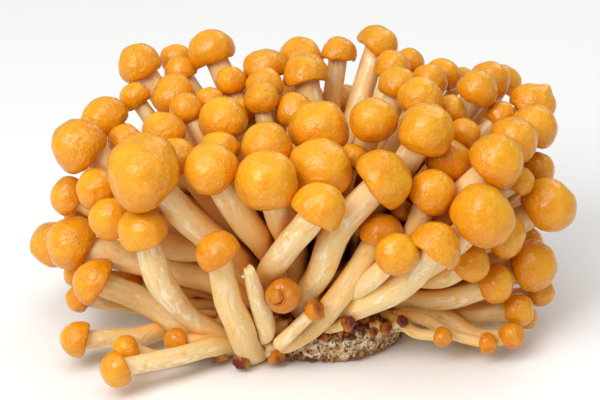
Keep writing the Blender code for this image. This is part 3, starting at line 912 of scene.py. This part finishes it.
# Painted shade on the snapped stem, from how closed in it is.
place = placed(rows, 0.7, occlusion_shade=0.4 * hidden(rows))
flesh = Flesh()
tip = rows[0].mean(axis=0)
flesh.add(tip, rows, end, tip / MM, grain, place, [2] * (STEM_ROWS + 1))
base = rows[3, AROUND // 2]
sliver(flesh, base, base + np.array([-0.8, -0.4, 0.5]) * MM, 0.55 * MM, 1)
for k in range(LOOSE_FIBRES):
    base = rows[-3, (k * 7) % AROUND]
    sliver(flesh, base, base + onward * (1.0 + 0.5 * (k % 3)) * MM, 0.3 * MM, k, 0.4)
flesh.piece("snapped_stem_flesh", MUSHROOM_FINISHES, "mushroom", "snapped_stem")


# The compost plug: the block that the bunch was cut from its jar with. White mycelium binds
# brown crumbs into a porous cake, pitted and specked all over, and crumbling at its cut edge.


def compost():
    """Cream and grey mycelium, pitted, with brown specks, and brown where it crumbles. Its pits
    have painted shade nearly black, and painted shade darkens it where the stems close it in.
    """
    material, start, shader = finish("compost_cake")
    grain = kept(start, "grain")
    place = kept(start, "place")
    height = place.part(0)
    pit = place.part(1)
    occlusion_shade = place.part(2)
    cloud = grain.noise(0.16, 4.0, 0.3)
    web = grain.noise(0.55, 5.0, 0.8)
    fine = grain.noise(2.2, 4.0, 0.4)
    speck = grain.noise(0.50, 4.0, 0.5)
    dot = grain.noise(1.1, 2.0, 0.2)
    colour = cloud.between(0.35, 0.65).mix((0.36, 0.21, 0.09, 1), (0.62, 0.43, 0.21, 1))
    colour = web.between(0.46, 0.58).mix(colour, (0.84, 0.72, 0.50, 1))
    colour = (fine.between(0.48, 0.66) * 0.35).mix(colour, (0.45, 0.24, 0.10, 1))
    colour = (speck.between(0.55, 0.60) * 0.85).mix(colour, (0.40, 0.13, 0.022, 1))
    colour = (dot.between(0.56, 0.61) * 0.95).mix(colour, (0.085, 0.030, 0.015, 1))
    # Painted shade: the pits are darkened nearly to black.
    colour = (pit.between(0.15, 0.7) * 0.95).mix(colour, (0.075, 0.028, 0.015, 1))
    edge = (height + (web - 0.5) * 0.35).between(0.24, 0.06)
    colour = (edge * 0.8).mix(colour, (0.42, 0.17, 0.035, 1))
    top = (height + (cloud - 0.5) * 0.4).between(0.62, 0.78)
    colour = (top * 0.9).mix(colour, (0.22, 0.055, 0.015, 1))
    # Painted shade where the stems close the plug in.
    colour = (occlusion_shade.between(0.4, 1.0) * 0.7).mix(colour, (0.14, 0.04, 0.01, 1))
    rise = web * 0.8 + fine * 0.5 + speck * 0.3
    wire(
        start,
        shader,
        Base_Color=colour,
        Roughness=(fine * 0.2 + 0.7).held(),
        Specular_IOR_Level=0.25,
        Normal=rise.bump(0.8, 0.0005),
    )
    return material


PLUG_AROUND = 300
PLUG_TOP_ROWS = 26
PLUG_WALL_ROWS = 44
PLUG_BASE_ROWS = 12
PIT_DEPTH = 0.75 * MM
PIT_SPACING = 1.9 * MM
PIT_WIDTH = 0.42  # Against the spacing.
CRUMBLES_BELOW = 2.2 * MM
plug_tree = BVHTree.FromPolygons(
    [vertex.co for vertex in nodes["compost_plug"].data.vertices],
    [face.vertices[:] for face in nodes["compost_plug"].data.polygons],
)


def on_plug(bearing, rise):
    """The point of the plug seen from its heart on this bearing, at this rise in radians."""
    way = Vector((np.cos(bearing) * np.cos(rise), np.sin(bearing) * np.cos(rise), np.sin(rise)))
    return np.array(plug_tree.ray_cast(Vector(heart), way)[0]), np.array(way)


bearings = np.linspace(0.0, tau, PLUG_AROUND, endpoint=False)
rises = np.radians(
    np.concatenate(
        [
            np.linspace(88.0, 16.0, PLUG_TOP_ROWS, endpoint=False),
            np.linspace(16.0, -8.0, PLUG_WALL_ROWS, endpoint=False),
            np.linspace(-8.0, -80.0, PLUG_BASE_ROWS),
        ]
    )
)
rows = np.zeros((len(rises), PLUG_AROUND, 3))
ways = np.zeros(rows.shape)
for k, rise in enumerate(rises):
    for i, bearing in enumerate(bearings):
        rows[k, i], ways[k, i] = on_plug(bearing, rise)
pits = np.zeros(rows.shape[:2])
for k in range(len(rises)):
    for i in range(PLUG_AROUND):
        near = noise.voronoi(Vector(rows[k, i] / PIT_SPACING))[0]
        pits[k, i] = max(0.0, 1 - near[0] / PIT_WIDTH) if near[3] > 0.95 else 0.0
flat = ways * np.array([1, 1, 0.5])
flat /= np.linalg.norm(flat, axis=-1, keepdims=True)
lumps = clouds(rows, 170.0, 41) * 0.7 + clouds(rows, 420.0, 42) * 0.45
lumps += clouds(rows, 1100.0, 43) * 0.3
crumble = np.clip(1 - rows[..., 2] / CRUMBLES_BELOW, 0, 1)
lumps += crumble * (clouds(rows, 700.0, 44) * 0.8 + 0.1)
rows = rows + flat * (lumps * MM - pits**0.7 * PIT_DEPTH)[..., None]
rows[..., 2] = np.clip(rows[..., 2], 0.0, None)
place = placed(rows, rows[..., 2] / plug_high[2], pits, hidden(rows))
flesh = Flesh()
top = rows[0].mean(axis=0)
base = np.array([*plug_middle[:2], 0.0])
flesh.add(top, rows, base, top / MM, rows / MM, place, [0] * (len(rises) + 1))
COMPOST = compost()
flesh.piece("compost_cake", [COMPOST], "compost", "compost_plug")


# Crumbs on the plug: bark-brown grains that cling along its cut edge, and dark, wet scraps of
# the growing skin, torn off where the stems crowd out of it.

CRUMB_COUNT = 330
SCRAP_COUNT = 230
LUMP_UNEVEN = 0.45


def scraps():
    """Dark wet red-brown skin, with rusty and amber pieces among it."""
    material, start, shader = finish("wet_scraps")
    grain = kept(start, "grain")
    tone = kept(start, "place").part(1)
    cloud = grain.noise(0.5, 4.0, 0.6)
    colour = (tone + (cloud - 0.5) * 0.6).between(0.0, 1.0).mix(
        (0.12, 0.014, 0.004, 1), (0.62, 0.20, 0.02, 1)
    )
    wire(
        start,
        shader,
        Base_Color=colour,
        Roughness=(cloud * 0.3 + 0.2).held(),
        Specular_IOR_Level=0.3,
        Normal=cloud.bump(0.5, 0.0004),
    )
    return material


def lump(flesh, middle, sizes, seed, tone, around, high):
    """An uneven grain: sizes are its half lengths, turned to a way of its own."""
    draw = np.random.default_rng(seed)
    turned = np.linalg.qr(draw.normal(size=(3, 3)))[0]
    turned[:, 0] *= np.sign(np.linalg.det(turned))
    turn = np.linspace(0.0, tau, around, endpoint=False)
    rise = np.linspace(pi / 2, -pi / 2, high + 2)[1:-1]
    ways = np.stack(
        [
            np.cos(rise)[:, None] * np.cos(turn),
            np.cos(rise)[:, None] * np.sin(turn),
            np.broadcast_to(np.sin(rise)[:, None], (high, around)),
        ],
        axis=-1,
    )
    swell = 1 + LUMP_UNEVEN * clouds(ways, 1.5, seed)
    swell += 0.4 * LUMP_UNEVEN * clouds(ways, 4.0, seed + 0.5)
    shape = np.diag(sizes) @ turned.T
    rows = middle + (ways * swell[..., None]) @ shape.T @ turned.T
    pole = np.array([0.0, 0.0, 1.0]) @ shape.T @ turned.T
    place = placed(rows, 0.0, tone)
    flesh.add(middle + pole, rows, middle - pole, middle / MM, rows / MM, place, [0] * (high + 1))


draw = np.random.default_rng(7)
grains = Flesh()
for k in range(CRUMB_COUNT):
    bearing = draw.uniform(0.0, tau)
    point, way = on_plug(bearing, np.radians(draw.uniform(-6.5, -3.0)))
    size = draw.uniform(0.25, 0.85) ** 1.4 * MM
    point = point + way * draw.uniform(-0.2, 0.5) * MM
    point[2] = max(point[2] + draw.uniform(0.0, 0.9) * MM, size * 0.8)
    lump(grains, point, size * draw.uniform(0.6, 1.3, 3), 1000 + k, draw.uniform(0, 1), 8, 5)
COMPOST_GRAIN, start, shader = finish("compost_grain")
grain = kept(start, "grain")
tone = kept(start, "place").part(1)
cloud = grain.noise(1.2, 3.0)
colour = (tone + cloud - 0.5).between(0.0, 1.0).mix((0.15, 0.05, 0.015, 1), (0.55, 0.28, 0.09, 1))
wire(start, shader, Base_Color=colour, Roughness=0.85, Normal=cloud.bump(0.7, 0.0003))
grains.piece("edge_crumbs", [COMPOST_GRAIN], "compost")

skins = Flesh()
for k in range(SCRAP_COUNT):
    front = k % 4 != 0
    bearing = draw.uniform(-2.5, -0.45) if front else draw.uniform(-0.5, 3.8)
    point, way = on_plug(bearing, np.radians(draw.uniform(10.0, 26.0)))
    size = draw.uniform(0.5, 1.25) * MM
    spread = [draw.uniform(0.9, 1.6), draw.uniform(0.7, 1.2), draw.uniform(0.35, 0.7)]
    sizes = size * np.array(spread)
    lump(skins, point + way * 0.1 * MM, sizes, 2000 + k, draw.uniform(0, 1) ** 2, 10, 6)
SCRAPS = scraps()
skins.piece("wet_scraps", [SCRAPS], "compost")


# Buds and stubs: mushrooms that never grew out, dark and glossy at their tips, and cut ends of
# stems, all round the front of the plug.


def bud_skin():
    """Glossy skin of a bud, from near-black red to amber by its tone."""
    material, start, shader = finish("bud_skin")
    grain = kept(start, "grain")
    place = kept(start, "place")
    cloud = grain.noise(0.45, 3.0, 0.5)
    crown = place.part(0).between(0.55, 0.95)
    shade = (place.part(1) * 1.1 + (cloud - 0.5) * 0.9 - crown * 0.5).held()
    colour = shade.mix((0.13, 0.008, 0.002, 1), (0.80, 0.27, 0.010, 1))
    wire(
        start,
        shader,
        Base_Color=colour,
        Roughness=0.22,
        Specular_IOR_Level=0.35,
        Normal=cloud.bump(0.5, 0.0003),
    )
    return material


class Bud(NamedTuple):
    """A bud: where its cap and its foot are and its width, in millimetres."""

    cap: tuple
    foot: tuple
    width: float
    tone: float
    tall: float = 0.8
    stem: float = 0.36


BUDS = (
    Bud((-16.0, -36.2, 3.1), (-12.5, -28.0, 5.2), 4.6, 0.0, stem=0.50),
    Bud((-22.0, -33.2, 3.1), (-16.5, -26.5, 5.0), 4.8, 0.3, tall=0.62, stem=0.42),
    Bud((-6.4, -34.2, 3.2), (-11.0, -29.0, 5.2), 4.6, 0.60, stem=0.42),
    Bud((-7.4, -31.5, 16.2), (-6.8, -27.5, 11.5), 3.4, 0.0),
    Bud((4.0, -42.6, 22.2), (-5.0, -38.0, 9.6), 5.8, 0.52, tall=0.72, stem=0.31),
    Bud((13.2, -36.6, 15.0), (8.0, -30.0, 10.2), 4.0, 0.12, tall=1.0, stem=0.48),
    Bud((24.0, -28.8, 8.8), (20.5, -24.0, 7.2), 3.4, 0.12, stem=0.45),
    Bud((28.3, -30.8, 12.3), (25.5, -25.0, 7.8), 3.4, 0.14, stem=0.45),
    Bud((20.5, -30.8, 8.8), (19.6, -27.0, 6.8), 2.6, 0.35, stem=0.45),
    Bud((-39.2, -24.0, 12.5), (-31.0, -22.0, 10.0), 3.0, 0.45),
)


def bud_growth(bud):
    """A bud in the form that mushrooms are grown from."""
    cap = np.array(bud.cap) * MM
    foot = np.array(bud.foot) * MM
    axis = unit(cap - foot)
    half = 0.5 * bud.width * MM / CAP_GROWS
    under = 1.2 * bud.tall - 0.36
    neck = cap - axis * half * (under - 0.2)
    radius = bud.stem * half * 2
    waist = 0.5 * (neck + foot)
    return Growth(
        centre=cap,
        axis=axis,
        side=unit(np.cross(axis, np.array([0.2, 0.9, 0.4]))),
        half=half,
        rise=2 * bud.tall - under,
        under=under,
        rim=1 - 0.55 * under,
        stem=np.array([[*neck, 0.9 * radius], [*waist, radius], [*foot, 1.1 * radius]]),
    )


BUD_FINISHES = [bud_skin(), *MUSHROOM_FINISHES[1:]]
flesh = Flesh()
for k, bud in enumerate(BUDS):
    grow_mushroom(flesh, bud_growth(bud), 700 + k, Trait(tone=bud.tone, lumpy=3.2))
flesh.piece("buds", BUD_FINISHES, "mushroom")

# Cut ends of stems, each from its root to its flat cut, and yellow fibres torn from one.
STUBS = (
    ((-4.6, -29.0, 7.0), (-4.6, -31.2, 12.6), 1.8),
    ((-3.5, -30.5, 5.0), (-9.0, -33.6, 6.2), 1.8),
    ((21.4, -26.0, 5.5), (20.8, -28.8, 10.6), 1.5),
    ((-12.8, -27.0, 3.5), (-10.6, -32.0, 7.6), 1.5),
)
STUB_FIBRES = 9
flesh = Flesh()
for k, (root, cut, radius) in enumerate(STUBS):
    ends = np.array([cut, root]) * MM
    middle = ends.mean(axis=0) + np.array([0.0, -0.4, -0.3]) * MM
    knots = np.array([[*ends[0], 0.96], [*middle, 1.0], [*ends[1], 1.15]])
    knots[:, 3] *= radius * MM
    side = unit(np.cross(ends[0] - ends[1], np.array([0.1, 0.3, 0.9])))
    rows, end, grain, share = stem_skin(knots, side, 800 + k)
    # Painted shade on the stubs, from how closed in they are.
    place = placed(rows, 0.6, 0.3, hidden(rows))
    flesh.add(ends[0], rows, end, grain[0, 0], grain + 5.0 * k, place, [2] * (STEM_ROWS + 1))
for k in range(STUB_FIBRES):
    base = np.array([25.6 + 0.35 * k, -27.5 - 0.15 * (k % 3), 7.4]) * MM
    tip = base + np.array([0.9 + 0.3 * (k % 3), -1.0, 1.4 + 0.4 * (k % 2)]) * MM
    sliver(flesh, base, tip, 0.22 * MM, k, 0.3)
flesh.piece("cut_stubs", MUSHROOM_FINISHES, "mushroom")


# The table under the bunch, the soft lamps around it, most of their light from the upper left,
# and a long lens that looks down on its front.

floor_material, start, shader = finish("pale_table")
wire(start, shader, Base_Color=(0.93, 0.93, 0.92, 1), Roughness=0.7)
bpy.ops.mesh.primitive_plane_add(size=6.0, location=(0, 0, -0.0002))
floor = bpy.context.object
floor.name = "table"
floor.data.materials.append(floor_material)


def lamp(name, azimuth, elevation, distance, size, power):
    """A square soft lamp looking at the bunch, azimuth in degrees from its front."""
    data = bpy.data.lights.new(name, "AREA")
    data.size = size
    data.energy = power
    made = bpy.data.objects.new(name, data)
    bpy.context.scene.collection.objects.link(made)
    a = np.radians(azimuth)
    e = np.radians(elevation)
    way = Vector((np.sin(a) * np.cos(e), -np.cos(a) * np.cos(e), np.sin(e)))
    aim = Vector((0.0, 0.0, 0.035))
    made.location = aim + way * distance
    made.rotation_euler = way.to_track_quat("Z", "Y").to_euler()


lamp("window_left", -38, 42, 0.9, 0.50, 5.6)
lamp("window_top", -10, 74, 0.9, 0.60, 2.8)
lamp("fill_right", 50, 30, 1.1, 0.7, 0.8)
lamp("rim_back", 150, 40, 1.0, 0.5, 2.0)
world = bpy.data.worlds.new("studio")
world.use_nodes = True
world.node_tree.nodes["Background"].inputs["Color"].default_value = (1, 1, 1, 1)
world.node_tree.nodes["Background"].inputs["Strength"].default_value = 0.34
scene = bpy.context.scene
scene.world = world
scene.view_settings.view_transform = "Standard"

VIEW_HEIGHT = 0.040
VIEW_ELEVATION = np.radians(26.0)
VIEW_DISTANCE = 0.65
lens = bpy.data.cameras.new("camera")
lens.sensor_width = 36.0
lens.lens = 140.4
lens.shift_x = -0.0033
lens.shift_y = -0.0074
camera = bpy.data.objects.new("camera", lens)
scene.collection.objects.link(camera)
target = Vector((plug_middle[0] - 0.005, plug_middle[1] + 0.0015, VIEW_HEIGHT))
toward = Vector((0.0, -np.cos(VIEW_ELEVATION), np.sin(VIEW_ELEVATION)))
camera.location = target + toward * VIEW_DISTANCE
camera.rotation_euler = toward.to_track_quat("Z", "Y").to_euler()
scene.camera = camera
